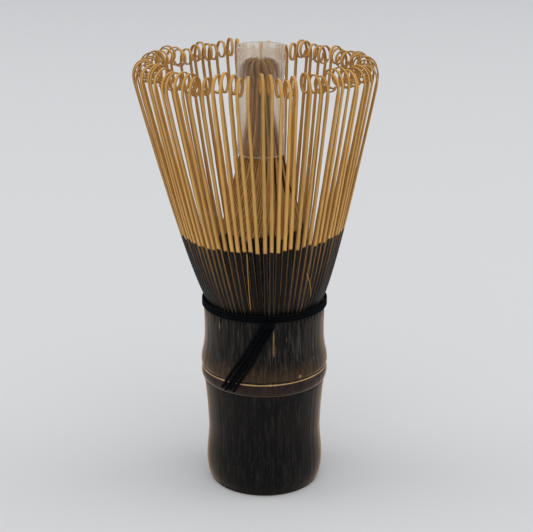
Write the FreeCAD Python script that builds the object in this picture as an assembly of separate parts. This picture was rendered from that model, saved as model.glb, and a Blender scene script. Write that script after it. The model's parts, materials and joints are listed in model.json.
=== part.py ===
import FreeCAD, Part

import math
import os

# Bamboo tea whisk in millimetres, +Z up, with its origin at the centre of the foot of its handle.
# Angles are degrees round the whisk: 0 faces -Y and they grow towards +X.

V = FreeCAD.Vector
UP = V(0, 0, 1)

# Handle: one length of culm with a single node, open at the foot
COLLAR_RADIUS = 15.1        # outside, just below the thread
COLLAR_WALL = 3.7           # sets the bore below the node
BORE_STEP = 0.4             # the bore is this much narrower from the node up
COLLAR_TOP = 46.85          # where the solid bamboo ends and the tines begin
FOOT_TAPER = 1.15           # the foot is this much slimmer than the collar
FOOT_CHAMFER = 0.35
NODE_BOTTOM = 27.8
NODE_HEIGHT = 3.1
NODE_SWELL = 0.8            # how far the node stands out from the collar
NODE_EDGE_SWELL = 0.2       # the same at its lower edge
SHEATH_LINE_SWELL = 0.4     # the same in the groove left by the leaf sheath
WAIST_SHARE = 0.45          # height of the collar's slimmest line, as a share of the collar
DIAPHRAGM_THICKNESS = 2.4
DIAPHRAGM_DOME = 0.9
SLIT_WIDTH = 0.3
SLIT_DEPTH = 2.6

# Thread: three turns outside the tines, one between the two rows, a knot and four loose tails
THREAD_RADIUS = 0.32
THREAD_GAP = 0.04           # between two turns that lie side by side
TURN_COUNT = 3
TURN_CLEARANCE = 0.2        # between a turn and the tines that flex beside it
INNER_TURN_RISE = 4.1       # height of the turn between the rows above the collar
KNOT_ANGLE = 4.0
KNOT_HALF_WIDTH = 1.6
KNOT_HALF_HEIGHT = 1.15
KNOT_HALF_DEPTH = 0.75
TAIL_RADIUS = 0.36
TAIL_DROP = 18.0            # from the knot down to the ends
TAIL_LIFT = 0.2             # air between a tail and the culm
TAIL_STEPS = 9
TAIL_STARTS = (-2.6, 1.2, 5.0, 8.8)
TAIL_ENDS = (-39.4, -35.6, -31.4, -27.6)
TAIL_ENDS_RAGGED = (0.4, 0.0, 0.4, 0.05)

# Tines: the culm is first split in sixteen, and each split into five outer and five inner tines
SECTOR_COUNT = 16
TINES_PER_SECTOR = 5
TINE_COUNT = SECTOR_COUNT * TINES_PER_SECTOR
PITCH = 360.0 / TINE_COUNT
LONG_SECTION_GAP = 4.0      # between the sections that shape a stem
SHORT_SECTION_GAP = 0.8     # the same at the foot and round a bend
SECTION_GAP_EASE = 14.0     # length over which one goes over to the other
SEWING_TOLERANCE = 1e-5

# Small differences between hand-split tines: waves round the ring, as (size, count, phase)
ASIDE_WAVES = ((0.30, 13, 0.4), (0.20, 29, 1.9))    # across the rim
OUTWARD_WAVES = ((0.40, 9, 2.2), (0.30, 31, 0.3))   # away from the middle at the rim
RISE_WAVES = ((0.45, 17, 1.1), (0.35, 7, 2.7))      # height of the rim
YAW_WAVES = ((6.0, 11, 0.9), (2.8, 27, 2.5))        # degrees that a curl turns aside
CURL_SIZE_WAVES = ((0.07, 19, 0.7),)                # share of the curl's radius
CURL_TURN_WAVES = ((22.0, 23, 1.4),)                # degrees of curl

# Outer tines, which flare from the thread and curl in at the top
TINE_SEAT = 0.3             # how far their roots sit in from the collar, under the thread
OUTER_ROOT_GAP = 0.25       # above the collar, so that they can flex
OUTER_ROOT_THICKNESS = 1.0
OUTER_TIP_THICKNESS = 0.28
OUTER_ROOT_WIDTH = 0.86
OUTER_TIP_WIDTH = 0.6
OUTER_STRAIGHT = 2.0        # length held upright under the thread
STEM_HEIGHT = 52.6          # from the end of that straight to the start of the curl
RIM_RADIUS = 28.15          # middle of a tine where its curl begins
FLARE_POWER = 0.8
FLARE_OFFSET = 0.01         # keeps the foot of the flare from being too sharp
STRAY_POWER = 1.5           # how late along a stem the small differences set in
DRIFT_POWER = 0.9           # the same for the drift of the rim
THINNING_POWER = 0.6        # how early along a stem it gets thin
CURL_RADIUS = 2.05
CURL_RAMP = 8.6             # length over which the curl tightens
CURL_TURN = 345.0
CURL_NARROWING = 0.2        # share of its width that a tine loses round the curl
SECTOR_GATHER = 0.12        # each sector's tines stand this much closer at the rim than an even spread
RIM_DRIFT = 1.9             # the rim leans this far towards -X
STEM_STEPS = 400            # points worked out along a stem
CURL_STEP = 0.05            # length between the points worked out round a curl
STRAIGHT_STEPS = 21

# Inner tines, which close to a neck and turn over at their tips into a knob
ROW_GAP = 0.4               # between the two rows at their roots
INNER_ROOT_GAP = 0.9        # above the collar, so that the bunch can lean
INNER_ROOT_THICKNESS = 0.9
INNER_NECK_THICKNESS = 0.22
INNER_ROOT_WIDTH = 0.5
CLOSING_POWERS = (1.6, 1.55)    # shape of the curve from the root in to the neck
GATHER_START = 0.3          # share of the height at which the five layers begin to close up
GATHER_SHARE = 0.65         # share of the height over which they do
THINNING_SHARE = 0.6        # share of the height over which a tine gets thin
NARROWING_SHARE = 0.8       # the same for its width
LEAN_POWER = 0.8
NECK_RISE = 52.65           # height of the neck above the collar
NECK_CORE_RADIUS = 0.95     # middle of the innermost layer at the neck
NECK_CORE_WIDTH = 0.22
LAYER_PITCH = 0.42
LAYER_WIDENING = 0.035
NECK_TWIST = 45.0
KNOB_RADIUS = 4.6
KNOB_MIDDLE_RISE = 4.8      # height of the knob's widest line above the neck
KNOB_CROWN = 3.45           # height of its top above that line
KNOB_SHELL_PITCH = 0.36
KNOB_TAIL = 1.7             # length that hangs below the widest line of the knob
KNOB_SWIRL = 30.0           # degrees that a tine turns round the axis from the neck to its end
NECK_SWIRL_SHARE = 0.2      # share of that below the knob's widest line
TAIL_SWIRL_SHARE = 0.2      # share of that in the length that hangs down
KNOB_WIDTH = 0.38
KNOB_TIP_NARROWING = 0.3
NECK_STEPS = 20
KNOB_STEP = 3               # degrees between the points worked out over the knob
KNOB_TAIL_STEPS = 10
KNOB_REACH = (45, 60, 165, 180, 180)    # degrees that each layer turns over, outermost layer first
BUNCH_DRIFT = 0.95          # the bunch leans this far towards -X at its neck

# Film sleeve round the inner bunch
SLEEVE_CLEARANCE = 0.95     # between the knob and the film
SLEEVE_FILM = 0.12
SLEEVE_FOOT_GAP = 0.03      # between the film's lower edge and the bunch that widens below it
SLEEVE_LENGTH = 26.0
SLEEVE_SEAM_ANGLE = 62.0
SLEEVE_OVERLAP = 55.0

BORE_RADIUS = COLLAR_RADIUS - COLLAR_WALL
COLLAR_BORE_RADIUS = BORE_RADIUS - BORE_STEP
NODE_TOP = NODE_BOTTOM + NODE_HEIGHT
NECK_HEIGHT = COLLAR_TOP + NECK_RISE
KNOB_MIDDLE = NECK_HEIGHT + KNOB_MIDDLE_RISE
SLEEVE_BORE_RADIUS = KNOB_RADIUS + SLEEVE_CLEARANCE


def radial(angle):
    return V(math.sin(math.radians(angle)), -math.cos(math.radians(angle)), 0)


def tangential(angle):
    return V(math.cos(math.radians(angle)), math.sin(math.radians(angle)), 0)


def place(angle, radius, height):
    return radial(angle) * radius + UP * height


def ease(value):
    """Goes smoothly from 0 to 1 as the value does, and stays there."""
    held = min(1.0, max(0.0, value))
    return held * held * (3 - 2 * held)


def mix(start, end, share):
    return start + (end - start) * share


def revolved(edges):
    """Solid turned round the Z axis from a closed outline in the XZ plane."""
    return Part.Face(Part.Wire(edges)).revolve(V(0, 0, 0), UP, 360)


def line(start, end):
    return Part.makeLine(V(start[0], 0, start[1]), V(end[0], 0, end[1]))


def arc(start, middle, end):
    return Part.Arc(*[V(x, 0, z) for x, z in (start, middle, end)]).toShape()


def smooth_curve(points):
    curve = Part.BSplineCurve()
    curve.interpolate([V(x, 0, z) for x, z in points])
    return curve.toShape()


# Handle

def lower_culm():
    """Open-ended tube from the foot to the node."""
    foot = COLLAR_RADIUS - FOOT_TAPER
    edge = COLLAR_RADIUS + NODE_EDGE_SWELL
    middle = (mix(foot, edge, 0.26), NODE_BOTTOM / 2)
    inner_foot = (BORE_RADIUS, 0)
    outer_flat = (foot - FOOT_CHAMFER, 0)
    outer_foot = (foot, FOOT_CHAMFER)
    top = (edge, NODE_BOTTOM)
    inner_top = (BORE_RADIUS, NODE_BOTTOM)
    return revolved([
        line(inner_foot, outer_flat),
        line(outer_flat, outer_foot),
        arc(outer_foot, middle, top),
        line(top, inner_top),
        line(inner_top, inner_foot),
    ])


def node_ring():
    """Swollen ring of the node, up to the groove where the leaf sheath grew."""
    bottom = (COLLAR_RADIUS + NODE_EDGE_SWELL, NODE_BOTTOM)
    swell = (COLLAR_RADIUS + NODE_SWELL, NODE_BOTTOM + NODE_HEIGHT / 2)
    top = (COLLAR_RADIUS + SHEATH_LINE_SWELL, NODE_TOP)
    inner_bottom = (COLLAR_BORE_RADIUS, NODE_BOTTOM)
    inner_top = (COLLAR_BORE_RADIUS, NODE_TOP)
    return revolved([
        arc(bottom, swell, top),
        line(top, inner_top),
        line(inner_top, inner_bottom),
        line(inner_bottom, bottom),
    ])


def node_diaphragm():
    """Domed wall that closes the bore at the node."""
    under = NODE_BOTTOM
    over = under + DIAPHRAGM_THICKNESS
    return revolved([
        line((COLLAR_BORE_RADIUS, under), (COLLAR_BORE_RADIUS, over)),
        smooth_curve([(COLLAR_BORE_RADIUS, over), (COLLAR_BORE_RADIUS / 2, over + DIAPHRAGM_DOME * 0.75),
                      (0, over + DIAPHRAGM_DOME)]),
        line((0, over + DIAPHRAGM_DOME), (0, under + DIAPHRAGM_DOME)),
        smooth_curve([(0, under + DIAPHRAGM_DOME), (COLLAR_BORE_RADIUS / 2, under + DIAPHRAGM_DOME * 0.75),
                      (COLLAR_BORE_RADIUS, under)]),
    ])


def collar_outline():
    """Outside of the collar, as radius and height, from the groove up to the thread."""
    waist = mix(NODE_TOP, COLLAR_TOP, WAIST_SHARE)
    return [
        (COLLAR_RADIUS + SHEATH_LINE_SWELL, NODE_TOP),
        (COLLAR_RADIUS + NODE_SWELL, mix(NODE_TOP, waist, 0.18)),
        (COLLAR_RADIUS + NODE_SWELL * 0.75, mix(NODE_TOP, waist, 0.45)),
        (COLLAR_RADIUS, waist),
        (COLLAR_RADIUS - 0.08, mix(waist, COLLAR_TOP, 0.5)),
        (COLLAR_RADIUS, COLLAR_TOP),
    ]


def upper_culm():
    """Collar above the node, with a short slit below each gap between the outer tines."""
    outline = collar_outline()
    inner_top = (COLLAR_BORE_RADIUS, COLLAR_TOP)
    inner_bottom = (COLLAR_BORE_RADIUS, NODE_TOP)
    tube = revolved([
        smooth_curve(outline),
        line(outline[-1], inner_top),
        line(inner_top, inner_bottom),
        line(inner_bottom, outline[0]),
    ])
    blade = Part.makeBox(COLLAR_RADIUS - COLLAR_BORE_RADIUS + 2, SLIT_WIDTH, SLIT_DEPTH + 1)
    blade.translate(V(COLLAR_BORE_RADIUS - 1, -SLIT_WIDTH / 2, COLLAR_TOP - SLIT_DEPTH))
    slits = []
    for index in range(TINE_COUNT):
        slit = blade.copy()
        slit.rotate(V(0, 0, 0), UP, index * PITCH - 90)
        slits.append(slit)
    return tube.cut(Part.makeCompound(slits))


# Thread

def turn(ring_radius, height):
    return Part.makeTorus(ring_radius, THREAD_RADIUS, V(0, 0, height), UP)


def outer_turn_radius():
    return COLLAR_RADIUS - TINE_SEAT + TURN_CLEARANCE + THREAD_RADIUS


def outer_turn(number):
    step = 2 * THREAD_RADIUS + THREAD_GAP
    return turn(outer_turn_radius(), COLLAR_TOP + THREAD_GAP / 2 + THREAD_RADIUS + number * step)


def inner_turn():
    """Turn that keeps the two rows of tines apart."""
    return turn(outer_row_radius() - OUTER_ROOT_THICKNESS, COLLAR_TOP + INNER_TURN_RISE)


def knot():
    """Small flattened knot on the outside turns."""
    ball = Part.makeSphere(1)
    stretch = FreeCAD.Matrix()
    stretch.scale(KNOT_HALF_WIDTH, KNOT_HALF_DEPTH, KNOT_HALF_HEIGHT)
    lump = ball.transformGeometry(stretch)
    lump.rotate(V(0, 0, 0), UP, KNOT_ANGLE)
    reach = outer_turn_radius() + THREAD_RADIUS + KNOT_HALF_DEPTH
    lump.translate(place(KNOT_ANGLE, reach, COLLAR_TOP))
    return lump


def skin_radius(height):
    """Outside radius of the culm above the node's lower edge, straight between outline points."""
    outline = [(COLLAR_RADIUS + NODE_EDGE_SWELL, NODE_BOTTOM),
               (COLLAR_RADIUS + NODE_SWELL, NODE_BOTTOM + NODE_HEIGHT / 2)] + collar_outline()
    for (low_radius, low), (high_radius, high) in zip(outline, outline[1:]):
        if low <= height <= high:
            return mix(low_radius, high_radius, (height - low) / (high - low))
    return COLLAR_RADIUS


def tail_reach(height):
    """Distance of a tail's middle from the axis, where it lies on the widest skin close to it."""
    nearby = [skin_radius(height + step * TAIL_RADIUS) for step in (-2, -1, 0, 1, 2)]
    return max(nearby) + TAIL_RADIUS + TAIL_LIFT


def tail(number):
    """One loose end of the thread, which hangs down over the collar and the node."""
    start_height = COLLAR_TOP - KNOT_HALF_HEIGHT - TAIL_RADIUS
    end_height = COLLAR_TOP - TAIL_DROP + TAIL_ENDS_RAGGED[number]
    points = []
    for step in range(TAIL_STEPS):
        share = step / (TAIL_STEPS - 1)
        height = mix(start_height, end_height, share)
        points.append(place(mix(TAIL_STARTS[number], TAIL_ENDS[number], share), tail_reach(height), height))
    curve = Part.BSplineCurve()
    curve.interpolate(points)
    route = curve.toShape()
    section = Part.Wire(Part.Circle(points[0], route.tangentAt(route.FirstParameter), TAIL_RADIUS).toShape())
    return Part.Wire(route).makePipeShell([section], True, True)


# Tines

def sway(index, waves):
    """Sum of smooth waves round the ring of tines, at one tine."""
    return sum(size * math.sin(2 * math.pi * count * index / TINE_COUNT + phase)
               for size, count, phase in waves)


def section_gap(height, foot, bend_height):
    """Distance to the next section: short at the foot, long up the stem, short again above the bend."""
    above_foot = ease((height - foot) / SECTION_GAP_EASE)
    below_bend = ease((bend_height - height) / SECTION_GAP_EASE)
    return mix(SHORT_SECTION_GAP, LONG_SECTION_GAP, min(above_foot, below_bend))


def strip(rows, bend_height):
    """Solid strip with an oblong section that follows (point, across, thickness, width) rows.

    Its four edges are smooth curves through the sections' corners, joined by ruled faces.
    """
    last = len(rows) - 1
    corners = []
    places = []
    travelled = 0.0
    gap = 0.0
    for number, (point, across, thickness, width) in enumerate(rows):
        if number > 0:
            travelled += (point - rows[number - 1][0]).Length
        due = not places or travelled - places[-1] >= gap
        crowded = 0 < last - number < last and (rows[last][0] - point).Length < SHORT_SECTION_GAP / 2
        if number != last and (not due or crowded):
            continue
        along = rows[min(last, number + 1)][0] - rows[max(0, number - 1)][0]
        normal = across.cross(along).normalize()
        side = along.cross(normal).normalize() * (width / 2)
        depth = normal * (thickness / 2)
        corners.append([point + depth + side, point - depth + side, point - depth - side, point + depth - side])
        places.append(travelled)
        gap = section_gap(point.z, rows[0][0].z, bend_height)

    edges = []
    for corner in range(4):
        curve = Part.BSplineCurve()
        curve.interpolate(Points=[section[corner] for section in corners], Parameters=places)
        edges.append(curve.toShape())
    faces = [Part.makeRuledSurface(edge, edges[corner - 3], 1) for corner, edge in enumerate(edges)]
    faces += [Part.Face(Part.makePolygon(section + section[:1])) for section in (corners[0], corners[-1])]
    shell = Part.makeShell(faces)
    shell.sewShape(SEWING_TOLERANCE)
    solid = Part.Solid(shell)
    if solid.Volume < 0:
        solid.reverse()
    return solid


def outer_row_radius():
    """Outside of the outer tines' roots, which sit in from the collar so that the thread fits."""
    return COLLAR_RADIUS - TINE_SEAT


def inner_row_radius():
    """Outside of the inner tines' roots."""
    return outer_row_radius() - OUTER_ROOT_THICKNESS - ROW_GAP


def stem_radius(share):
    """Middle of a plain outer tine, as a share of its stem's height."""
    full = (1 + FLARE_OFFSET) ** FLARE_POWER - FLARE_OFFSET ** FLARE_POWER
    flare = ((share + FLARE_OFFSET) ** FLARE_POWER - FLARE_OFFSET ** FLARE_POWER) / full
    root = outer_row_radius() - OUTER_ROOT_THICKNESS / 2
    return mix(root, RIM_RADIUS, flare)


def outer_stem(index, angle):
    """Rows from a tine's root, upright under the thread, to the start of its curl."""
    out = radial(angle)
    side = tangential(angle)
    off_middle = index % TINES_PER_SECTOR - (TINES_PER_SECTOR - 1) / 2
    aside = sway(index, ASIDE_WAVES) - SECTOR_GATHER * off_middle
    outward = sway(index, OUTWARD_WAVES)
    foot = COLLAR_TOP + OUTER_ROOT_GAP
    shoulder = foot + OUTER_STRAIGHT
    rows = []
    for number in range(STRAIGHT_STEPS):
        point = out * stem_radius(0) + UP * mix(foot, shoulder, number / STRAIGHT_STEPS)
        rows.append((point, side, OUTER_ROOT_THICKNESS, OUTER_ROOT_WIDTH))
    for number in range(STEM_STEPS + 1):
        share = number / STEM_STEPS
        stray = share ** STRAY_POWER
        point = out * (stem_radius(share) + outward * stray) + side * (aside * stray)
        point += V(-RIM_DRIFT * share ** DRIFT_POWER, 0,
                   shoulder + (STEM_HEIGHT + sway(index, RISE_WAVES)) * share)
        rows.append((point, side, mix(OUTER_ROOT_THICKNESS, OUTER_TIP_THICKNESS, share ** THINNING_POWER),
                     mix(OUTER_ROOT_WIDTH, OUTER_TIP_WIDTH, share)))
    return rows


def outer_curl(index, angle, stem):
    """Rows from the end of the stem round the curl, which tightens until it is a plain circle."""
    yaw = sway(index, YAW_WAVES)
    curl_radius = CURL_RADIUS * (1 + sway(index, CURL_SIZE_WAVES))
    curl_turn = math.radians(CURL_TURN + sway(index, CURL_TURN_WAVES))
    point = stem[-1][0]
    heading = (point - stem[-2][0]).normalize()
    turned = -math.asin(heading.dot(radial(angle)))
    travelled = 0.0
    rows = []
    while turned < curl_turn:
        travelled += CURL_STEP
        turned += min(1.0, travelled / CURL_RAMP) / curl_radius * CURL_STEP
        facing = angle + yaw * ease(travelled / CURL_RAMP)
        point = point + (UP * math.cos(turned) - radial(facing) * math.sin(turned)) * CURL_STEP
        rows.append((point, tangential(facing), OUTER_TIP_THICKNESS,
                     OUTER_TIP_WIDTH * (1 - CURL_NARROWING * max(0, turned) / curl_turn)))
    return rows


def outer_tine(index):
    angle = (index + 0.5) * PITCH
    stem = outer_stem(index, angle)
    bend_height = COLLAR_TOP + OUTER_ROOT_GAP + OUTER_STRAIGHT + STEM_HEIGHT
    return strip(stem + outer_curl(index, angle, stem), bend_height)


def inner_stem(depth):
    """Outline of an inner tine up to its neck: (radius, height, twist, thickness, width) rows."""
    root_radius = inner_row_radius() - INNER_ROOT_THICKNESS / 2
    neck_radius = NECK_CORE_RADIUS + LAYER_PITCH * (TINES_PER_SECTOR - 1)
    core_radius = NECK_CORE_RADIUS + LAYER_PITCH * depth
    neck_width = NECK_CORE_WIDTH + LAYER_WIDENING * depth
    outline = []
    for number in range(STEM_STEPS + 1):
        share = number / STEM_STEPS
        closing = (1 - share ** CLOSING_POWERS[0]) ** CLOSING_POWERS[1]
        gathering = ease((share - GATHER_START) / GATHER_SHARE)
        thinning = min(1, share / THINNING_SHARE) ** THINNING_POWER
        outline.append((mix(neck_radius, root_radius, closing) - (neck_radius - core_radius) * gathering,
                        mix(COLLAR_TOP + INNER_ROOT_GAP, NECK_HEIGHT, share),
                        NECK_TWIST * ease(share),
                        mix(INNER_ROOT_THICKNESS, INNER_NECK_THICKNESS, thinning),
                        mix(INNER_ROOT_WIDTH, neck_width, ease(share / NARROWING_SHARE))))
    return outline


def inner_tip(depth, reach):
    """Outline of an inner tine from its neck up, over the knob, and down its side if it reaches."""
    core_radius = NECK_CORE_RADIUS + LAYER_PITCH * depth
    neck_width = NECK_CORE_WIDTH + LAYER_WIDENING * depth
    shell_radius = KNOB_RADIUS - KNOB_SHELL_PITCH * depth
    shell_rise = KNOB_CROWN - KNOB_SHELL_PITCH * depth
    middle = (core_radius + shell_radius) / 2
    half_width = (shell_radius - core_radius) / 2
    over_share = 1 - NECK_SWIRL_SHARE - TAIL_SWIRL_SHARE
    outline = []
    for number in range(1, NECK_STEPS):
        share = number / NECK_STEPS
        outline.append((core_radius, mix(NECK_HEIGHT, KNOB_MIDDLE, share),
                        NECK_TWIST + KNOB_SWIRL * NECK_SWIRL_SHARE * share, INNER_NECK_THICKNESS, neck_width))
    for turned in range(0, reach + 1, KNOB_STEP):
        over = math.radians(turned)
        outline.append((middle - half_width * math.cos(over),
                        KNOB_MIDDLE + shell_rise * math.sin(over),
                        NECK_TWIST + KNOB_SWIRL * (NECK_SWIRL_SHARE + over_share * turned / 180),
                        INNER_NECK_THICKNESS,
                        mix(neck_width, KNOB_WIDTH, ease(turned / 90))))
    if reach == 180:
        for number in range(1, KNOB_TAIL_STEPS + 1):
            share = number / KNOB_TAIL_STEPS
            outline.append((shell_radius, KNOB_MIDDLE - KNOB_TAIL * share,
                            NECK_TWIST + KNOB_SWIRL * (1 - TAIL_SWIRL_SHARE * (1 - share)),
                            INNER_NECK_THICKNESS, KNOB_WIDTH * (1 - KNOB_TIP_NARROWING * share)))
    return outline


def lean(height):
    """Share of the bunch's drift at a height."""
    foot = COLLAR_TOP + INNER_ROOT_GAP
    return ((height - foot) / (NECK_HEIGHT - foot)) ** LEAN_POWER


def inner_tine(index):
    layer = index % TINES_PER_SECTOR
    depth = TINES_PER_SECTOR - 1 - layer
    angle = (index + 1) * PITCH
    rows = []
    for radius, height, twist, thickness, width in inner_stem(depth) + inner_tip(depth, KNOB_REACH[layer]):
        point = place(angle + twist, radius, height) + V(-BUNCH_DRIFT * lean(height), 0, 0)
        rows.append((point, tangential(angle + twist), thickness, width))
    return strip(rows, NECK_HEIGHT)


def sector(tine, number):
    first = number * TINES_PER_SECTOR
    return Part.makeCompound([tine(first + place_in_sector) for place_in_sector in range(TINES_PER_SECTOR)])


# Film sleeve

def sleeve_bottom():
    """Lowest height at which the bunch of inner tines leaves room for the film."""
    room = SLEEVE_BORE_RADIUS - SLEEVE_FOOT_GAP
    for radius, height, _, thickness, width in inner_stem(TINES_PER_SECTOR - 1):
        off_middle = BUNCH_DRIFT * (1 - lean(height))
        if math.hypot(radius + thickness / 2, width / 2) + off_middle <= room:
            return height
    return NECK_HEIGHT


def film_sleeve():
    """Tube of rolled film whose end laps over its start."""
    bore = Part.makeCylinder(SLEEVE_BORE_RADIUS, SLEEVE_LENGTH)
    film = Part.makeCylinder(SLEEVE_BORE_RADIUS + SLEEVE_FILM, SLEEVE_LENGTH)
    lap = Part.makeCylinder(SLEEVE_BORE_RADIUS + 2 * SLEEVE_FILM, SLEEVE_LENGTH, V(0, 0, 0), UP, SLEEVE_OVERLAP)
    lap.rotate(V(0, 0, 0), UP, SLEEVE_SEAM_ANGLE - 90)
    tube = film.fuse(lap).cut(bore)
    tube.translate(V(-BUNCH_DRIFT, 0, sleeve_bottom()))
    return tube


def write(name, shape):
    shape.exportStep(os.path.join("parts", name + ".step"))


def main():
    os.makedirs("parts", exist_ok=True)
    write("lower_culm", lower_culm())
    write("node_ring", node_ring())
    write("node_diaphragm", node_diaphragm())
    write("upper_culm", upper_culm())
    for number in range(TURN_COUNT):
        write(f"thread_turn_{number + 1}", outer_turn(number))
    write("thread_inner_turn", inner_turn())
    write("thread_knot", knot())
    for number in range(len(TAIL_ENDS)):
        write(f"thread_tail_{number + 1}", tail(number))
    for number in range(SECTOR_COUNT):
        write(f"outer_tines_{number + 1:02d}", sector(outer_tine, number))
        write(f"inner_tines_{number + 1:02d}", sector(inner_tine, number))
    write("film_sleeve", film_sleeve())


main()
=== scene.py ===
import json
import math

import bpy
import numpy as np
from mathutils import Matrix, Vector


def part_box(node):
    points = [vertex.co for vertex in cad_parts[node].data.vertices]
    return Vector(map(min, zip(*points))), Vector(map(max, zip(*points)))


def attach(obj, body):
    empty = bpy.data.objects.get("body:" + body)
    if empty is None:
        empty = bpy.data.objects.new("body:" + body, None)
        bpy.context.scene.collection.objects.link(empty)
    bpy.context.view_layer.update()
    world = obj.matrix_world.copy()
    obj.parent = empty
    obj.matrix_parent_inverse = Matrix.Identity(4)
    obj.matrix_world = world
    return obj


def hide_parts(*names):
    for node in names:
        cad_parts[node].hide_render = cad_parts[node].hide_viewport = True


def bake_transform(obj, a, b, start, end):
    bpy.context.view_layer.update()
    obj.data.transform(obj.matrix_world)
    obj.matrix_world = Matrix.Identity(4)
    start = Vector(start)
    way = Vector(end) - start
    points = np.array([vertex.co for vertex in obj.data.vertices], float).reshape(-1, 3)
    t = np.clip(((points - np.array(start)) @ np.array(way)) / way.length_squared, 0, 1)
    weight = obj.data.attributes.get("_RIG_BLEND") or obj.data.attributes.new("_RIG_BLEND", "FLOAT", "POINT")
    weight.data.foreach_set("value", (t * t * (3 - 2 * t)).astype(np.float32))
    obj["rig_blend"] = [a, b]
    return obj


# Looks of a bamboo tea whisk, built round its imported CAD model. Lengths are in millimetres here and
# become metres when a mesh is made. Angles are degrees round the whisk: 0 faces -Y and +X is at 90.

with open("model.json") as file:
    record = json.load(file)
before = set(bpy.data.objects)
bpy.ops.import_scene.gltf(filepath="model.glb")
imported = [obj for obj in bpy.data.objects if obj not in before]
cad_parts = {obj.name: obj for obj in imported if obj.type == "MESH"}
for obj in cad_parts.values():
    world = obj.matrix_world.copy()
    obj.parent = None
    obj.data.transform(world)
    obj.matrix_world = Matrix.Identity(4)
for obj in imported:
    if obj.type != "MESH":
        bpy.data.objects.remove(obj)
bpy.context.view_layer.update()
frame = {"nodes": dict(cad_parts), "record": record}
random_source = np.random.default_rng(11)

MM = 0.001
UP = np.array([0.0, 0.0, 1.0])


def node_box(node):
    low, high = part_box(node)
    return np.array(low) / MM, np.array(high) / MM


# Sizes that come from the CAD model
NODE_BOTTOM = node_box("node_ring")[0][2]
COLLAR_TOP = node_box("upper_culm")[1][2]
COLLAR_BORE = node_box("node_diaphragm")[1][0]
FOOT_BORE = frame["record"]["mounts"][0]["dims"]["r_mm"]
THREAD_RADIUS = (node_box("thread_turn_1")[1][2] - node_box("thread_turn_1")[0][2]) / 2
TURN_RADIUS = node_box("thread_turn_1")[1][0] - THREAD_RADIUS
INNER_TURN_RADIUS = node_box("thread_inner_turn")[1][0] - THREAD_RADIUS
KNOT_LOW, KNOT_HIGH = node_box("thread_knot")
SLEEVE_LOW, SLEEVE_HIGH = node_box("film_sleeve")

# Skin of the culm, as (height, radius)
CULM_OUTLINE = ((0.0, 13.66), (0.12, 13.82), (0.45, 13.95), (15.0, 14.28), (22.0, 14.68), (25.2, 14.98),
                (27.2, 15.2), (27.72, 15.24), (27.9, 15.42), (28.35, 15.66), (29.4, 15.86), (30.2, 15.8),
                (30.62, 15.62), (30.8, 15.68), (30.95, 15.74), (31.1, 15.66), (31.3, 15.44), (31.55, 15.62),
                (31.95, 15.84), (33.0, 15.88), (34.2, 15.7), (36.0, 15.32), (37.8, 15.1), (41.0, 14.99),
                (44.0, 15.03), (46.85, 15.1))
OUT_OF_ROUND_WAVES = ((0.05, 3, 0.7), (0.03, 5, 2.1))   # (size, count, phase)
FOOT_OUT_OF_ROUND = 0.02
FOOT_EDGE = 0.5                     # height below which the foot is turned round
RIDGES = ((0.012, 2.0, 5), (0.02, 9.0, 6))      # fine upright ridges, as (size, columns wide, seed)

# Leaf scar at the node and the groove above it
SCAR_HEIGHT = 30.95
SCAR_HALF_WIDTH = 0.13
SCAR_RAGGEDNESS = 0.07
SCAR_TILT = 0.22
SCAR_TILT_REACH = 3                 # height over which the tilt fades out
GROOVE_HEIGHT = 31.3

# Marks in the collar's skin: (angle, lowest height, highest height, half width, depth)
GOUGES = ((8.5, 38.1, 45.8, 0.22, 0.28), (-47.5, 43.1, 45.6, 0.2, 0.22), (33.5, 31.75, 32.75, 0.42, 0.12),
          (52.0, 35.2, 36.4, 0.07, 0.06), (60.0, 38.6, 40.6, 0.06, 0.05), (21.0, 41.6, 43.0, 0.05, 0.05))
COLLAR_MIDDLE_RADIUS = 15.1

# Splits at the top of the collar, painted near black as shade inside them, in degrees across and millimetres
# down
SLIT_LENGTHS = (0.6, 2.7)
SLIT_HALF_ANGLE = 0.36
SLIT_EDGE = 0.1
SLIT_TAPER = 1.2
SLIT_DEPTH = 0.9

# Tines
SECTORS = 16
TINES_PER_SECTOR = 5
TINES = SECTORS * TINES_PER_SECTOR
PITCH = 360 / TINES
ROOT_SINK = 0.35                    # how far their feet reach into the collar
BEVEL_SHARE = 0.1                   # bevel along a tine's edges, as a share of its thinner side
FLEX_FOOT = 46.4                    # heights between which a tine takes up its joint's motion
FLEX_TOP = 56.0
BARK_TOP = 66.2
BARK_RISE = 1.5                     # the bark reaches this much higher on the +X side
BARK_RAGGEDNESS = 0.4

# Outer tines
SHOULDER = COLLAR_TOP + 2.25
STEM_HEIGHT = 52.6
OUTER_ROOT_RADIUS = 14.3
RIM_RADIUS = 28.15
RIM_DRIFT = 1.9                     # the rim leans this far towards -X
SECTOR_GATHER = 0.12                # each sector's tines stand this much closer at the rim
OUTER_ROOT_THICKNESS = 1.0
OUTER_TIP_THICKNESS = 0.28
OUTER_ROOT_WIDTH = 0.98
OUTER_TIP_WIDTH = 0.72
FLARE_POWER = 0.8
FLARE_OFFSET = 0.01
STRAY_POWER = 1.5                   # how late along a stem the small differences set in
DRIFT_POWER = 0.9
THINNING_POWER = 0.6
FOOT_ROWS = 6
STEM_ROWS = 90
STEM_ROW_POWER = 1.15               # rows lie closer together low down
CURL_RADIUS = 2.05
CURL_RAMP = 8.6                     # length over which the curl tightens
CURL_TURN = 345
CURL_NARROWING = 0.1
CURL_STEP = 0.05
CURL_STEPS_PER_ROW = 5

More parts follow.
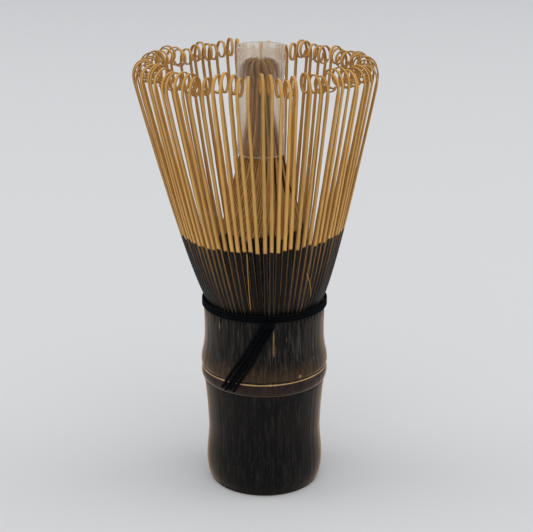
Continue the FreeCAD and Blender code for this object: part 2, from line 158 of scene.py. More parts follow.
# Inner tines
INNER_FOOT = COLLAR_TOP + 0.9
INNER_ROOT_RADIUS = 12.95
INNER_ROOT_THICKNESS = 0.9
INNER_NECK_THICKNESS = 0.22
INNER_ROOT_WIDTH = 0.8
INNER_FOOT_ROWS = 3
INNER_STEM_ROWS = 80
CLOSING_POWERS = (1.6, 1.55)        # shape of the curve from the root in to the neck
GATHER_START = 0.3                  # share of the height at which the five layers begin to close up
GATHER_SHARE = 0.65
THINNING_SHARE = 0.6
NARROWING_SHARE = 0.9
NECK_HEIGHT = COLLAR_TOP + 52.65
NECK_TWIST = 45
NECK_CORE_RADIUS = 0.95
NECK_CORE_WIDTH = 0.28
LAYER_PITCH = 0.42
LAYER_WIDENING = 0.05
BUNCH_DRIFT = 0.95                  # the bunch leans this far towards -X at its neck
LEAN_POWER = 0.8
KNOB_MIDDLE = NECK_HEIGHT + 4.8
KNOB_RADIUS = 4.6
KNOB_CROWN = 3.45
KNOB_SHELL_PITCH = 0.36
KNOB_WIDTH = 0.38
KNOB_SWIRL = 30                     # degrees that a tine turns round the axis above its neck
SWIRL_SHARES = (0.2, 0.6, 0.2)      # of that up to the knob, over it and down its side
KNOB_TAIL = 1.7                     # length that hangs down the knob's side
KNOB_TIP_WIDTH_SHARE = 0.7
KNOB_REACH = (45, 60, 165, 180, 180)    # degrees that each layer turns over, outermost layer first
NECK_ROWS = 6
KNOB_ROW_STEP = 5
KNOB_TAIL_ROWS = 5

# Thread
PLIES = 3
THREAD_LAY = 2.4                    # length of one twist
TURN_FULLNESS = 1.04
TURN_WANDER = 0.05
TURN_STEPS = 400
TAIL_RADIUS = 0.4
TAIL_LAY = 3.6
TAIL_STARTS = (-2.6, 1.2, 5.0, 8.8)
TAIL_ENDS = (-39.4, -35.6, -31.4, -27.6)
TAIL_ENDS_RAGGED = (0.4, 0.0, 0.4, 0.05)
TAIL_TOP = COLLAR_TOP - 0.5
TAIL_BOTTOM = COLLAR_TOP - 18.0
TAIL_SWEEP_POWER = 1.04
TAIL_LIFT = 0.46                    # from the skin to a tail's middle
TAIL_BOW = 0.1                      # more lift half way down
KNOT_ANGLE = 4.0
KNOT_HALF_WIDTH = 1.6
KNOT_HALF_DEPTH = 0.75
KNOT_HALF_HEIGHT = 1.15
KNOT_THREAD_RADIUS = 0.29
KNOT_LAY = 1.2
KNOT_TILTS = (-62, -20, 18, 52, 88)     # degrees that each loop leans

# Film sleeve
FILM_THICKNESS = 0.1
FILM_BORE_RADIUS = 5.56
FILM_FREE_EDGE = 62.0               # angle of its outer edge
FILM_LAP = 55.0                     # degrees that it overlaps
FILM_LAP_RISE = (300, 60)           # degrees at which the lap begins to lift, and over which it does
FILM_LAP_GAP = 0.02
FILM_WAVE = 0.03
FILM_EDGE_WIDTH = 0.16              # of the painted highlight band along the cut edge
FILM_COLUMNS = 167
FILM_ROWS = 30

# Loose fibres on the outer tines: (sector, angles at both ends, heights at both ends, bulge)
SPLINTERS = ((15, (-12.3, -11.6), (50.2, 65.8), 0.12), (1, (43.0, 32.5), (52.4, 59.8), 0.45))
SPLINTER_THICKNESS = 0.06
SPLINTER_WIDTHS = (0.1, 0.14)
SPLINTER_LIFT = 0.5
SPLINTER_ROWS = 24

# Differences between hand-split tines: waves round the ring, as (size, count, phase)
ASIDE_WAVES = ((0.30, 13, 0.4), (0.20, 29, 1.9))
OUTWARD_WAVES = ((0.40, 9, 2.2), (0.30, 31, 0.3))
RISE_WAVES = ((0.45, 17, 1.1), (0.35, 7, 2.7))
YAW_WAVES = ((6.0, 11, 0.9), (2.8, 27, 2.5))
CURL_SIZE_WAVES = ((0.07, 19, 0.7),)
CURL_TURN_WAVES = ((22.0, 23, 1.4),)

# Uneven width along a tine: (share of the width, waves up the stem, shift from tine to tine)
WIDTH_WAVES = ((0.045, 23, 2.4), (0.03, 57, 5.1))


def radial(angle):
    return np.array([math.sin(math.radians(angle)), -math.cos(math.radians(angle)), 0.0])


def tangential(angle):
    return np.array([math.cos(math.radians(angle)), math.sin(math.radians(angle)), 0.0])


def place(angle, radius, height):
    return radial(angle) * radius + UP * height


def ease(value):
    held = min(1.0, max(0.0, value))
    return held * held * (3 - 2 * held)


def mix(start, end, share):
    return start + (end - start) * share


def sway(index, waves):
    return sum(size * math.sin(2 * math.pi * count * index / TINES + phase) for size, count, phase in waves)


def unit(vectors):
    return vectors / np.linalg.norm(vectors, axis=-1, keepdims=True)


# Meshes

def make_object(name, points, faces, materials, sharp=35, face_materials=None, attributes=None):
    """Mesh object from millimetre points. Attributes are per-point numbers that the materials read."""
    mesh = bpy.data.meshes.new(name)
    mesh.from_pydata((np.asarray(points) * MM).tolist(), [], faces)
    for material in materials:
        mesh.materials.append(material)
    if face_materials is not None:
        mesh.polygons.foreach_set("material_index", face_materials)
    for label, values in (attributes or {}).items():
        attribute = mesh.attributes.new(label, "FLOAT", "POINT")
        attribute.data.foreach_set("value", np.asarray(values, dtype=np.float32))
    mesh.update()
    mesh.shade_smooth()
    mesh.set_sharp_from_angle(angle=math.radians(sharp))
    shape = bpy.data.objects.new(name, mesh)
    bpy.context.scene.collection.objects.link(shape)
    return shape


def skin_rows(first, rows, columns, closed_rows=False, closed_columns=True):
    """Quads over a grid of points that starts at index first."""
    faces = []
    for row in range(rows if closed_rows else rows - 1):
        here = first + row * columns
        above = first + (row + 1) % rows * columns
        for column in range(columns if closed_columns else columns - 1):
            beside = (column + 1) % columns
            faces.append((here + column, here + beside, above + beside, above + column))
    return faces


class Strips:
    """Collects bevelled strips into the points, faces and attributes of one mesh."""

    def __init__(self):
        self.points = []
        self.faces = []
        labels = ("across", "through", "along", "bark", "skin", "rim", "tint")
        self.attributes = {label: [] for label in labels}
        self.count = 0

    def add(self, rows, bark_top, tint):
        """Adds a strip along (point, across, thickness, width) rows.

        Bark covers its outer face up to bark_top.
        """
        centre = np.array([row[0] for row in rows])
        sideways = np.array([row[1] for row in rows])
        half_depth = np.array([row[2] for row in rows])[:, None] / 2
        half_width = np.array([row[3] for row in rows])[:, None] / 2
        heading = unit(np.gradient(centre, axis=0))
        normal = unit(np.cross(sideways, heading))
        side = unit(np.cross(heading, normal))
        bevel = BEVEL_SHARE * np.minimum(half_depth, half_width) * 2
        steps = np.concatenate([[0.0], np.cumsum(np.linalg.norm(np.diff(centre, axis=0), axis=1))])
        # Corners round the section, as (out, aside, bevel in depth, bevel in width)
        corners = ((1, -1, 0, 1), (1, 0, 0, 0), (1, 1, 0, 1), (1, 1, 1, 0), (-1, 1, 1, 0),
                   (-1, 1, 0, 1), (-1, 0, 0, 0), (-1, -1, 0, 1), (-1, -1, 1, 0), (1, -1, 1, 0))
        columns = len(corners)
        depths = []
        widths = []
        ring = []
        for out, aside, depth_bevel, width_bevel in corners:
            depths.append(out * (half_depth - bevel * depth_bevel))
            widths.append(aside * (half_width - bevel * width_bevel))
            ring.append(centre + normal * depths[-1] + side * widths[-1])
        points = np.stack(ring, axis=1).reshape(-1, 3)
        first = self.count
        last = first + (len(rows) - 1) * columns
        self.points.append(points)
        self.faces += skin_rows(first, len(rows), columns)
        self.faces.append(tuple(first + corner for corner in reversed(range(columns))))
        self.faces.append(tuple(last + corner for corner in range(columns)))
        self.count += len(points)
        values = {
            "across": np.concatenate(widths, axis=1).reshape(-1),
            "through": np.concatenate(depths, axis=1).reshape(-1),
            "along": np.repeat(steps, columns),
            "bark": bark_top - points[:, 2],
            "skin": np.tile([1.0 if corner[0] > 0 else 0.0 for corner in corners], len(rows)),
            "rim": np.tile([abs(corner[1]) for corner in corners], len(rows)),
            "tint": np.full(len(points), tint),
        }
        for label, numbers in values.items():
            self.attributes[label].append(numbers)

    def make(self, name, finish):
        attributes = {label: np.concatenate(values) for label, values in self.attributes.items()}
        return make_object(name, np.concatenate(self.points), self.faces, [finish], 50, attributes=attributes)


def twisted_thread(route, radius, closed=False, lay=THREAD_LAY):
    """Points and faces of a plied thread along a route."""
    route = np.asarray(route)
    if closed:
        heading = unit(np.roll(route, -1, axis=0) - np.roll(route, 1, axis=0))
    else:
        heading = unit(np.gradient(route, axis=0))
    steps = np.concatenate([[0.0], np.cumsum(np.linalg.norm(np.diff(route, axis=0), axis=1))])
    length = steps[-1] + (np.linalg.norm(route[0] - route[-1]) if closed else 0)
    turns = max(1, round(length / lay)) if closed else length / lay
    reference = np.where(np.abs(heading[:, 2:3]) < 0.9, UP, np.array([1.0, 0.0, 0.0]))
    first_axis = unit(np.cross(reference, heading))
    second_axis = np.cross(heading, first_axis)
    columns = 6 * PLIES
    points = []
    for row, centre in enumerate(route):
        twist = 2 * math.pi * turns * steps[row] / length
        for column in range(columns):
            around = 2 * math.pi * column / columns
            lobe = 0.8 + 0.2 * abs(math.cos(PLIES / 2 * (around - twist)))
            offset = first_axis[row] * math.cos(around) + second_axis[row] * math.sin(around)
            points.append(centre + offset * radius * lobe)
    faces = skin_rows(0, len(route), columns, closed_rows=closed)
    if not closed:
        faces.append(tuple(reversed(range(columns))))
        faces.append(tuple((len(route) - 1) * columns + column for column in range(columns)))
    return np.array(points), faces


def join_parts(parts):
    """One list of points and faces from several."""
    points = []
    faces = []
    for part_points, part_faces in parts:
        faces += [tuple(index + len(points) for index in face) for face in part_faces]
        points += list(part_points)
    return np.array(points), faces


# Materials

def linear(red, green, blue):
    """sRGB numbers from 0 to 255 as a linear colour."""
    values = [channel / 255 for channel in (red, green, blue)]
    return tuple(v / 12.92 if v <= 0.04045 else ((v + 0.055) / 1.055) ** 2.4 for v in values) + (1.0,)


class Tree:
    """Short way to write a material's nodes."""

    def __init__(self, name):
        self.material = bpy.data.materials.new(name)
        self.material.use_nodes = True
        self.nodes = self.material.node_tree.nodes
        self.links = self.material.node_tree.links
        self.shader = self.nodes["Principled BSDF"]

    def put(self, socket, value):
        if isinstance(value, bpy.types.NodeSocket):
            self.links.new(value, socket)
        else:
            socket.default_value = value

    def add(self, kind, inputs, output=0, **settings):
        node = self.nodes.new(kind)
        for key, value in settings.items():
            setattr(node, key, value)
        for key, value in inputs.items():
            self.put(node.inputs[key], value)
        return node.outputs[output]

    def attribute(self, name):
        return self.add("ShaderNodeAttribute", {}, "Fac", attribute_name=name)

    def math(self, operation, first, second=0.0, clamp=False):
        return self.add("ShaderNodeMath", {0: first, 1: second}, operation=operation, use_clamp=clamp)

    def mix_colour(self, share, first, second, blend_type="MIX"):
        node = self.nodes.new("ShaderNodeMix")
        node.data_type = "RGBA"
        node.blend_type = blend_type
        self.put(node.inputs[0], share)
        self.put(node.inputs[6], first)
        self.put(node.inputs[7], second)
        return node.outputs[2]

    def noise(self, vector, scale, detail=4.0, roughness=0.55):
        return self.add("ShaderNodeTexNoise", {"Vector": vector, "Scale": scale, "Detail": detail,
                                               "Roughness": roughness}, "Fac")

    def range(self, value, low, high, start=0.0, end=1.0, smooth=True):
        return self.add("ShaderNodeMapRange", {"Value": value, "From Min": low, "From Max": high,
                                               "To Min": start, "To Max": end},
                        interpolation_type="SMOOTHSTEP" if smooth else "LINEAR")

    def vector(self, x, y, z):
        return self.add("ShaderNodeCombineXYZ", {"X": x, "Y": y, "Z": z})

    def bump(self, height, strength, distance):
        return self.add("ShaderNodeBump", {"Height": height, "Strength": strength, "Distance": distance})


def tine_material(name, flesh, dark_flesh, side_flesh, bark_colour):
    """Split bamboo: long fibres, painted shade on the side and inner faces, a painted highlight along the
    bark's edges, and black bark on the skin side low down.
    """
    tree = Tree(name)
    across = tree.attribute("across")
    through = tree.attribute("through")
    along = tree.attribute("along")
    tint = tree.attribute("tint")
    offset = tree.math("MULTIPLY", tint, 37.0)
    grain = tree.vector(tree.math("ADD", tree.math("MULTIPLY", across, 9.0), offset),
                        tree.math("MULTIPLY", through, 7.0), tree.math("MULTIPLY", along, 0.16))
    fibres = tree.noise(grain, 1.0, 6.0, 0.75)
    blotch = tree.noise(tree.vector(offset, 0.0, tree.math("MULTIPLY", along, 0.09)), 1.0, 2.0)
    colour = tree.mix_colour(tree.range(fibres, 0.3, 0.6), dark_flesh, flesh)
    warm = tree.mix_colour(tree.range(blotch, 0.4, 0.75, 0.0, 0.35), colour, dark_flesh)
    shade = tree.range(tree.math("FRACT", tree.math("MULTIPLY", tint, 7.31)), 0.0, 1.0, 0.86, 1.1, False)
    toned = tree.mix_colour(1.0, warm, tree.vector(shade, shade, shade), "MULTIPLY")
    # Painted shade: the inner face, and the side faces in part, are darker towards dark_flesh
    side_shaded = tree.mix_colour(tree.range(tree.attribute("skin"), 0.95, 0.6, 0.0, 0.3), toned, dark_flesh)
    rim = tree.attribute("rim")
    # Painted shade: the side faces are darker brown
    edge_shaded = tree.mix_colour(tree.range(rim, 0.45, 1.0, 0.0, 0.35), side_shaded, linear(118, 76, 32))
    bark_edge = tree.math("ADD", tree.attribute("bark"), tree.range(fibres, 0.2, 0.8, -0.35, 0.35))
    low_down = tree.range(bark_edge, -0.08, 0.12)
    bark = tree.math("MULTIPLY", low_down, tree.range(tree.attribute("skin"), 0.55, 0.9))
    # Below the bark line the flesh faces take side_flesh, which on the inner tines is painted shade
    below_bark_flesh = tree.mix_colour(low_down, edge_shaded, side_flesh)
    specks = tree.noise(tree.vector(tree.math("ADD", tree.math("MULTIPLY", across, 6.0), offset), through,
                                    tree.math("MULTIPLY", along, 0.9)), 1.6, 5.0, 0.7)
    speckled = tree.mix_colour(tree.range(specks, 0.5, 0.8), bark_colour, linear(62, 53, 46))
    # Painted highlight: the bark faces are lighter along their edges, more on some tines than on others
    highlight_strength = tree.range(tree.math("FRACT", tree.math("MULTIPLY", tint, 5.7)), 0.0, 1.0, 0.05, 0.9)
    edge_highlight = tree.math("MULTIPLY", highlight_strength, tree.range(rim, 0.84, 1.0))
    bark_skin_highlit = tree.mix_colour(edge_highlight, speckled, linear(112, 92, 70))
    tree.put(tree.shader.inputs["Base Color"], tree.mix_colour(bark, below_bark_flesh, bark_skin_highlit))
    tree.put(tree.shader.inputs["Roughness"], tree.range(fibres, 0.2, 0.8, 0.42, 0.62))
    tree.put(tree.shader.inputs["Normal"], tree.bump(fibres, 0.5, 0.00008))
    tree.shader.inputs["Specular IOR Level"].default_value = 0.14
    return tree.material


def culm_material():
    """Dark smoked skin: fine upright streaks, brown round the node, tan where the skin is gone, and painted
    shade inside the splits.
    """
    tree = Tree("smoked_culm_skin")
    place_here = tree.add("ShaderNodeTexCoord", {}, "Object")
    split = tree.nodes.new("ShaderNodeSeparateXYZ")
    tree.put(split.inputs[0], place_here)
    height = tree.math("MULTIPLY", split.outputs[2], 1000.0)
    streak_place = tree.add("ShaderNodeMapping", {"Vector": place_here, "Scale": (1900.0, 1900.0, 110.0)})
    streaks = tree.noise(streak_place, 1.0, 6.0, 0.68)
    broad_place = tree.add("ShaderNodeMapping", {"Vector": place_here, "Scale": (420.0, 420.0, 30.0)})
    broad = tree.noise(broad_place, 1.0, 4.0, 0.6)
    speck_place = tree.add("ShaderNodeMapping", {"Vector": place_here, "Scale": (2600.0, 2600.0, 700.0)})
    specks = tree.noise(speck_place, 1.0, 3.0, 0.6)
    dark = tree.mix_colour(tree.range(streaks, 0.46, 0.74), linear(4, 5, 8), linear(74, 66, 57))
    mottled = tree.mix_colour(tree.range(broad, 0.45, 0.75, 0.0, 0.5), dark, linear(50, 40, 31))
    lower = tree.mix_colour(tree.range(height, 28.0, 27.5, 0.0, 0.6), mottled, linear(3, 3, 6))
    speckled = tree.mix_colour(tree.range(specks, 0.66, 0.8, 0.0, 0.4), lower, linear(112, 100, 86))
    collar = tree.math("MULTIPLY", tree.range(height, 31.2, 32.0), tree.range(height, 37.5, 32.0))
    brown_share = tree.math("MULTIPLY", collar, tree.range(streaks, 0.3, 0.7, 0.3, 0.85))
    browned = tree.mix_colour(brown_share, speckled, linear(82, 62, 42))
    ring = tree.math("MULTIPLY", tree.range(height, 27.6, 27.9), tree.range(height, 31.5, 31.0))
    ring_colour = tree.mix_colour(tree.range(broad, 0.35, 0.7), linear(34, 26, 25), linear(56, 41, 36))
    ringed = tree.mix_colour(ring, browned, ring_colour)
    scar = tree.mix_colour(tree.range(streaks, 0.3, 0.75), linear(206, 158, 108), linear(236, 196, 146))
    scarred = tree.mix_colour(tree.attribute("scar"), ringed, scar)
    bare = tree.mix_colour(tree.range(streaks, 0.35, 0.7), linear(150, 118, 70), linear(206, 174, 122))
    bared = tree.mix_colour(tree.attribute("bare"), scarred, bare)
    # Painted shade: near black inside the splits at the top of the collar
    slit_shaded = tree.mix_colour(tree.attribute("slit"), bared, linear(8, 7, 7))
    tree.put(tree.shader.inputs["Base Color"], slit_shaded)
    tree.put(tree.shader.inputs["Roughness"], tree.range(streaks, 0.3, 0.75, 0.32, 0.48))
    tree.put(tree.shader.inputs["Normal"], tree.bump(streaks, 0.4, 0.00006))
    tree.shader.inputs["Specular IOR Level"].default_value = 0.12
    tree.shader.inputs["Sheen Weight"].default_value = 1.0
    tree.shader.inputs["Sheen Roughness"].default_value = 0.28
    tree.shader.inputs["Sheen Tint"].default_value = linear(255, 214, 170)
    return tree.material


def cut_material():
    """Sawn and scraped bamboo inside the culm: pale, with fibre ends as dark dots."""
    tree = Tree("cut_bamboo")
    place_here = tree.add("ShaderNodeTexCoord", {}, "Object")
    grain_place = tree.add("ShaderNodeMapping", {"Vector": place_here, "Scale": (1500.0, 1500.0, 90.0)})
    grain = tree.noise(grain_place, 1.0, 5.0, 0.6)
    dots = tree.add("ShaderNodeTexVoronoi", {"Vector": place_here, "Scale": 1700.0}, "Distance")
    colour = tree.mix_colour(tree.range(grain, 0.35, 0.7), linear(150, 112, 66), linear(196, 160, 104))
    dotted = tree.mix_colour(tree.range(dots, 0.28, 0.12, 0.0, 0.6), colour, linear(96, 64, 36))
    tree.put(tree.shader.inputs["Base Color"], dotted)
    tree.put(tree.shader.inputs["Normal"], tree.bump(grain, 0.4, 0.0001))
    tree.shader.inputs["Roughness"].default_value = 0.7
    return tree.material


def thread_material():
    tree = Tree("black_thread")
    place_here = tree.add("ShaderNodeTexCoord", {}, "Object")
    fuzz_place = tree.add("ShaderNodeMapping", {"Vector": place_here, "Scale": (5000.0, 5000.0, 5000.0)})
    fuzz = tree.noise(fuzz_place, 1.0, 3.0, 0.6)
    tree.put(tree.shader.inputs["Base Color"],
             tree.mix_colour(tree.range(fuzz, 0.35, 0.75), linear(2, 3, 5), linear(9, 12, 16)))
    tree.put(tree.shader.inputs["Normal"], tree.bump(fuzz, 0.5, 0.00005))
    tree.shader.inputs["Roughness"].default_value = 0.85
    tree.shader.inputs["Specular IOR Level"].default_value = 0.08
    return tree.material


def film_material():
    """Clear film with a warm tint, which lets the tines inside show."""
    tree = Tree("clear_film")
    place_here = tree.add("ShaderNodeTexCoord", {}, "Object")
    ripple = tree.noise(place_here, 130.0, 2.0)
    tree.put(tree.shader.inputs["Base Color"],
             tree.mix_colour(tree.range(ripple, 0.3, 0.7), linear(254, 245, 233), linear(255, 250, 241)))
    tree.put(tree.shader.inputs["Normal"], tree.bump(ripple, 0.15, 0.0002))
    tree.shader.inputs["Roughness"].default_value = 0.24
    tree.shader.inputs["Transmission Weight"].default_value = 0.94
    tree.shader.inputs["IOR"].default_value = 1.15
    tree.shader.inputs["Alpha"].default_value = 0.68
    tree.shader.inputs["Sheen Weight"].default_value = 0.15
    tree.shader.inputs["Sheen Roughness"].default_value = 0.4
    return tree.material


def film_edge_highlight_material():
    """The film's cut edges and a thin band beside them, painted pale as the highlight where they catch the
    light.
    """
    tree = Tree("film_edge_highlight")
    place_here = tree.add("ShaderNodeTexCoord", {}, "Object")
    highlight_strength = tree.noise(place_here, 900.0, 3.0)
    # Painted highlight: pale, partly opaque colour on the cut edges
    tree.put(tree.shader.inputs["Base Color"],
             tree.mix_colour(tree.range(highlight_strength, 0.35, 0.7), linear(222, 208, 190), linear(244, 232, 216)))
    tree.shader.inputs["Roughness"].default_value = 0.3
    tree.shader.inputs["Alpha"].default_value = 0.6
    return tree.material


def floor_material():
    tree = Tree("pale_floor")
    tree.shader.inputs["Base Color"].default_value = linear(231, 231, 231)
    tree.shader.inputs["Roughness"].default_value = 0.9
    tree.shader.inputs["Specular IOR Level"].default_value = 0.1
    return tree.material


# Culm

def outline_radius(heights):
    """Smooth radius of the culm's skin at given heights."""
    known_heights = np.array([height for height, _ in CULM_OUTLINE])
    known = np.array([radius for _, radius in CULM_OUTLINE])
    slopes = np.gradient(known, known_heights)
    spot = np.clip(np.searchsorted(known_heights, heights, side="right") - 1, 0, len(known) - 2)
    gap = known_heights[spot + 1] - known_heights[spot]
    share = (heights - known_heights[spot]) / gap
    start = (2 * share**3 - 3 * share**2 + 1) * known[spot]
    start_slope = (share**3 - 2 * share**2 + share) * gap * slopes[spot]
    end = (3 * share**2 - 2 * share**3) * known[spot + 1]
    end_slope = (share**3 - share**2) * gap * slopes[spot + 1]
    return start + start_slope + end + end_slope


def smooth_noise(count, wavelength, seed):
    """Random numbers round a ring, smoothed so that they vary over about one wavelength of columns."""
    source = np.random.default_rng(seed)
    knots = max(4, int(count / wavelength))
    values = source.uniform(-1, 1, knots)
    spots = np.arange(count) / count * knots
    below = np.floor(spots).astype(int)
    share = spots - below
    share = share * share * (3 - 2 * share)
    return values[below % knots] * (1 - share) + values[(below + 1) % knots] * share


def gouge_share(angles, heights, gouge):
    """How far each point lies inside one mark, from 0 outside to 1 in its middle."""
    angle, low, high, half_width, _ = gouge
    aside = np.abs((angles - angle + 180) % 360 - 180) * math.pi / 180 * COLLAR_MIDDLE_RADIUS
    upness = (heights - low) / (high - low)
    taper = np.clip(np.minimum(upness * 9, (1 - upness) * 2.6), 0, 1) ** 0.6
    width = half_width * np.maximum(taper, 1e-3)
    inside = np.clip(1.25 - aside / width, 0, 1)
    return np.where((upness > 0) & (upness < 1), inside, 0)


def slit_places():
    """(angle, lowest height) of the dark split below each gap between the outer tines."""
    lengths = random_source.uniform(*SLIT_LENGTHS, TINES)
    return [(index * PITCH, COLLAR_TOP - lengths[index]) for index in range(TINES)]


def culm_angles(with_slits):
    """Angles of the columns of a piece of culm, closer together at its marks and slits."""
    angles = set(np.round(np.linspace(0, 360, 360, endpoint=False), 3))
    for gouge in GOUGES:
        angles |= set(np.round((gouge[0] + np.linspace(-2.0, 2.0, 17)) % 360, 3))
    if with_slits:
        beside = np.array([-0.9, -0.62, -0.3, 0.3, 0.62, 0.9])
        for index in range(TINES):
            angles |= set(np.round((index * PITCH + beside) % 360, 3))
    return np.array(sorted(angles))


def scar_lift(heights, radians):
    """How far the tilt of the leaf scar lifts each point near it."""
    near = np.clip(1 - np.abs(heights - SCAR_HEIGHT) / SCAR_TILT_REACH, 0, 1)
    return SCAR_TILT * np.sin(radians - 0.2) * near * near * (3 - 2 * near)


def slit_share(angles, heights):
    """How far each point lies inside a split, from 0 outside to 1 in its middle."""
    slit = np.zeros_like(angles)
    for angle, low in slit_places():
        aside = np.abs((angles - angle + 180) % 360 - 180)
        reach = np.clip((heights - low) / SLIT_TAPER, 0, 1)
        inside = np.clip((SLIT_HALF_ANGLE * reach + SLIT_EDGE - aside) / SLIT_EDGE, 0, 1) * (reach > 0)
        slit = np.maximum(slit, inside)
    return slit


def culm_piece(name, heights, bore_radius, with_slits, materials):
    """Ring-shaped piece of culm with its skin, and its bore and ends in cut bamboo."""
    angles = culm_angles(with_slits)
    columns = len(angles)
    turned, raised = np.meshgrid(angles, heights)
    radians = np.radians(turned)
    uneven = sum(size * np.sin(count * radians + phase) for size, count, phase in OUT_OF_ROUND_WAVES)
    turned_round = FOOT_OUT_OF_ROUND * np.sin(3 * radians)
    radii = outline_radius(raised) + np.where(raised < FOOT_EDGE, turned_round, uneven)
    for size, width, seed in RIDGES:
        radii = radii + size * smooth_noise(columns, width, seed)
    ragged = 0.5 + 0.5 * smooth_noise(columns, 5.0, 8)
    scar_width = SCAR_HALF_WIDTH + SCAR_RAGGEDNESS * ragged
    scar = np.clip(1.35 - np.abs(raised - SCAR_HEIGHT) / scar_width, 0, 1) * (0.75 + 0.25 * ragged)
    bare = np.zeros_like(radii)
    for gouge in GOUGES:
        inside = gouge_share(turned, raised, gouge)
        bare = np.maximum(bare, inside)
        radii = radii - gouge[4] * inside
    slit = slit_share(turned, raised) if with_slits else np.zeros_like(radii)
    radii = radii - SLIT_DEPTH * slit
    placed = raised + scar_lift(raised, radians)
    skin = np.stack([np.sin(radians) * radii, -np.cos(radians) * radii, placed], axis=-1).reshape(-1, 3)

    ring_radians = np.radians(angles)
    bore = []
    for height in (heights[-1], heights[0]):
        bore.append(np.stack([np.sin(ring_radians) * bore_radius, -np.cos(ring_radians) * bore_radius,
                              height + scar_lift(height, ring_radians)], axis=-1))
    faces = skin_rows(0, len(heights) + len(bore), columns, closed_rows=True)
    skin_faces = (len(heights) - 1) * columns
    face_materials = [0] * skin_faces + [1] * (len(faces) - skin_faces)
    padding = np.zeros(len(bore) * columns)
    attributes = {label: np.concatenate([values.reshape(-1), padding])
                  for label, values in (("scar", scar), ("bare", bare), ("slit", slit))}
    return make_object(name, np.concatenate([skin] + bore), faces, materials, 60, face_materials, attributes)


def steps_between(*stops):
    """Heights from (height, gap up to the next height) stops."""
    heights = []
    for (low, gap), (high, _) in zip(stops, stops[1:]):
        count = max(1, round((high - low) / gap))
        heights += [mix(low, high, number / count) for number in range(count)]
    return np.array(heights + [stops[-1][0]])


def make_culm(skin, cut):
    lower = culm_piece("culm_lower_look", steps_between((0, 0.06), (0.6, 0.8), (26, 0.2), (NODE_BOTTOM, 0)),
                       FOOT_BORE, False, [skin, cut])
    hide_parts("lower_culm")
    ring_heights = steps_between((NODE_BOTTOM, 0.07), (28.6, 0.2), (30.4, 0.05), (GROOVE_HEIGHT, 0))
    ring = culm_piece("culm_node_look", ring_heights, COLLAR_BORE, False, [skin, cut])
    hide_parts("node_ring")
    collar_heights = steps_between((GROOVE_HEIGHT, 0.06), (33, 0.25), (43, 0.14), (COLLAR_TOP, 0))
    collar = culm_piece("culm_collar_look", collar_heights, COLLAR_BORE, True, [skin, cut])
    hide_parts("upper_culm")
    for piece in (lower, ring, collar):
        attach(piece, "handle")
    diaphragm = frame["nodes"]["node_diaphragm"]
    diaphragm.data.materials.clear()
    diaphragm.data.materials.append(cut)


# Tines

def stem_radius(share):
    """Middle of a plain outer tine, as a share of its stem's height."""
    full = (1 + FLARE_OFFSET) ** FLARE_POWER - FLARE_OFFSET ** FLARE_POWER
    flare = ((share + FLARE_OFFSET) ** FLARE_POWER - FLARE_OFFSET ** FLARE_POWER) / full
    return mix(OUTER_ROOT_RADIUS, RIM_RADIUS, flare)


def outer_rows(index):
    """Rows of an outer tine: sunk root, upright foot, flaring stem and curl."""
    angle = (index + 0.5) * PITCH
    out = radial(angle)
    side = tangential(angle)
    off_middle = index % TINES_PER_SECTOR - TINES_PER_SECTOR // 2
    aside = sway(index, ASIDE_WAVES) - SECTOR_GATHER * off_middle
    outward = sway(index, OUTWARD_WAVES)
    rise = sway(index, RISE_WAVES)
    rows = [(out * OUTER_ROOT_RADIUS + UP * height, side, OUTER_ROOT_THICKNESS, OUTER_ROOT_WIDTH)
            for height in np.linspace(COLLAR_TOP - ROOT_SINK, SHOULDER, FOOT_ROWS, endpoint=False)]
    for number in range(STEM_ROWS + 1):
        share = (number / STEM_ROWS) ** STEM_ROW_POWER
        stray = share ** STRAY_POWER
        point = out * (stem_radius(share) + outward * stray) + side * (aside * stray)
        drift = -RIM_DRIFT * share ** DRIFT_POWER
        point = point + np.array([drift, 0, SHOULDER + (STEM_HEIGHT + rise) * share])
        uneven = 1 + sum(size * math.sin(share * waves + index * shift) for size, waves, shift in WIDTH_WAVES)
        thickness = mix(OUTER_ROOT_THICKNESS, OUTER_TIP_THICKNESS, share ** THINNING_POWER)
        rows.append((point, side, thickness, mix(OUTER_ROOT_WIDTH, OUTER_TIP_WIDTH, share) * uneven))
    return rows + curl_rows(index, angle, rows)


def curl_rows(index, angle, stem):
    """Rows of an outer tine's curl, which tightens until it is a plain circle."""
    yaw = sway(index, YAW_WAVES)
    curl_radius = CURL_RADIUS * (1 + sway(index, CURL_SIZE_WAVES))
    curl_turn = math.radians(CURL_TURN + sway(index, CURL_TURN_WAVES))
    point = stem[-1][0]
    heading = unit(point - stem[-2][0])
    turned = -math.asin(float(heading @ radial(angle)))
    travelled = 0.0
    number = 0
    rows = []
    while turned < curl_turn:
        number += 1
        travelled += CURL_STEP
        turned += min(1.0, travelled / CURL_RAMP) / curl_radius * CURL_STEP
        facing = angle + yaw * ease(travelled / CURL_RAMP)
        point = point + (UP * math.cos(turned) - radial(facing) * math.sin(turned)) * CURL_STEP
        if number % CURL_STEPS_PER_ROW == 0:
            width = OUTER_TIP_WIDTH * mix(1, 1 - CURL_NARROWING, max(0, turned) / curl_turn)
            rows.append((point, tangential(facing), OUTER_TIP_THICKNESS, width))
    return rows


